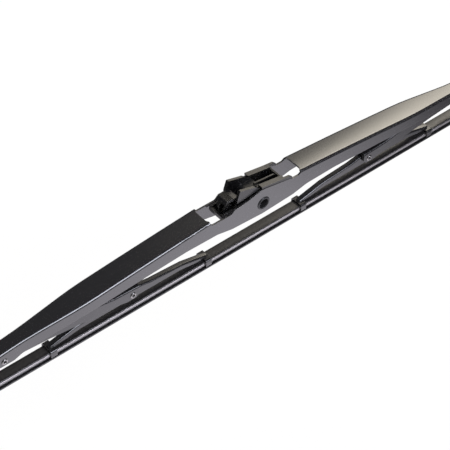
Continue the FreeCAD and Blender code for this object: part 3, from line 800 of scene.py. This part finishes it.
def rubber_section():
    """The section from the tip up the right side, over the top and down the left side.

    From the top: a head with a slot for a rail in each side, a deep groove where the claws
    grip, a pair of thin wings, and the wiping lip, which narrows towards its square tip.
    """
    head_low = SLOT_LOW - HEAD_LOWER
    right_side = [
        (RUBBER_HALF, TOP, 0.5), (RUBBER_HALF, SLOT_TOP, 0.15), (CORE_HALF, SLOT_TOP, 0.05),
        (CORE_HALF, SLOT_LOW, 0.05), (RUBBER_HALF, SLOT_LOW, 0.15), (RUBBER_HALF, head_low, 0.4),
        (CORE_HALF, head_low, 0.3), (CORE_HALF, WING_TOP, 0.4), (WING_HALF, WING_TOP, 0.25),
        (WING_HALF, WING_LOW, 0.45), (LIP_ROOT_HALF, LIP_ROOT, 0.5),
        (LIP_WAIST_HALF, LIP_WAIST, 1.5), (LIP_HALF, TIP, 0.05),
    ]
    left_side = [(-y, z, r) for y, z, r in reversed(right_side)]
    return rounded((left_side + right_side)[::-1]) * MM


def rail_section(side):
    """A flat strip with slightly rounded long edges, in the slot on that side."""
    inner, outer = rail_low.y / MM, rail_high.y / MM
    bottom, top = rail_low.z / MM, rail_high.z / MM
    strip = [(inner, bottom, 0.1), (outer, bottom, 0.25), (outer, top, 0.25), (inner, top, 0.1)]
    if side < 0:
        strip = [(-y, z, r) for y, z, r in reversed(strip)]
    return rounded(strip) * MM


# %% A section carried along the blade


def extrusion(name, section, stations):
    """A section of (y, z) points repeated at each x station, closed by a flat cap at each end.

    The UV map holds the place along the blade and the way round the section from its
    middle point, the same on both sides, in metres.
    """
    y, z = section.T
    x = np.broadcast_to(np.asarray(stations)[:, None], (len(stations), len(section)))
    points = np.stack([x, np.broadcast_to(y, x.shape), np.broadcast_to(z, x.shape)], -1)
    mesh = surface(name, points, caps=True)
    steps = np.linalg.norm(np.diff(section, axis=0), axis=1)
    way = np.concatenate([[0], np.cumsum(steps)])
    way = abs(way - way[-1] / 2)
    corner_vertex = np.zeros(len(mesh.loops), int)
    mesh.loops.foreach_get("vertex_index", corner_vertex)
    uv = np.stack([x.reshape(-1)[corner_vertex], way[corner_vertex % len(section)]], -1)
    mesh.uv_layers.new(name="strip").data.foreach_set("uv", uv.astype(np.float32).ravel())
    return mesh


# %% [markdown]
# The lengths and what holds them, from the middle outwards: the bridge holds the middle,
# then the secondary yoke takes over, then the inner claws, the secondary yoke again at its
# own pivot, and last the outer claws. Only the claws grip the real rubber, but a length can
# bend only between two bodies that share a joint, so the bridge and the yokes help out.

# %% Where the rubber is held
CLAW_HALF_LENGTH = 2.1 * MM
MIDDLE = 28.0 * MM
FINE, COARSE = 0.7 * MM, 12.0 * MM


def stations(start, end, bend_start, bend_end):
    """Places along one length: close together where it bends and wide apart elsewhere."""
    marks = [start, bend_start, bend_end, end]
    runs = []
    for a, b, step in zip(marks, marks[1:], (COARSE, FINE, COARSE)):
        runs.append(np.linspace(a, b, max(2, int((b - a) / step) + 1)))
    return np.unique(np.round(np.concatenate(runs), 7))


def pivot_x(joint):
    """How far a joint's pivot is from the middle of the blade."""
    return abs(joints[joint]["pos_m"][0])


def lengths(side):
    """Each length of one side: name, start, end, body before, body after, and its bend."""
    yoke = "secondary_" + side
    inner, outer = "claws_" + side + "_inner", "claws_" + side + "_outer"
    pivot = pivot_x("secondary_pivot_" + side)
    inner_pivot = pivot_x("claw_pivot_" + side + "_inner")
    outer_pivot = pivot_x("claw_pivot_" + side + "_outer")
    claw_low, claw_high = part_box("claw_yoke_" + side + "_inner")
    reach = (claw_high.x - claw_low.x) / 2 - CLAW_HALF_LENGTH
    return [
        ("middle", 0.0, MIDDLE, "bridge", yoke, 0.0, MIDDLE),
        ("inner", MIDDLE, inner_pivot, yoke, inner, MIDDLE, inner_pivot - reach),
        ("centre", inner_pivot, pivot, inner, yoke, inner_pivot + reach, pivot),
        ("outer", pivot, RUBBER_END, yoke, outer, pivot, outer_pivot - reach),
    ]


# %% Make the rubber and the rails
SECTION_FOLD = 50.0


def make_lengths(kind, section, skin_material, end_x, replaced):
    """All the lengths of one extrusion on both sides, close-spaced where each would bend.

    The left side's stations are mirrored and turned round, so that x still grows.
    """
    made = []
    for side, sign in (("left", -1), ("right", 1)):
        for place, start, end, before, after, bend_start, bend_end in lengths(side):
            xs = (sign * stations(start, min(end, end_x), bend_start, bend_end))[::sign]
            name = "_".join((kind, side, place))
            mesh = extrusion(name, section, xs)
            piece = new_piece(name, mesh, skin_material, SECTION_FOLD)
            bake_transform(piece)
            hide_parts(replaced)
            made.append(piece)
    return made


pieces = make_lengths("rubber", rubber_section(), rubber_skin, RUBBER_END,
                      "rubber_element")
for side, name in ((1, "steel_rail_front"), (-1, "steel_rail_back")):
    pieces += make_lengths(name, rail_section(side), rail_steel, rail_high.x, name)
print("lengths", len(pieces), "faces", sum(len(piece.data.polygons) for piece in pieces))
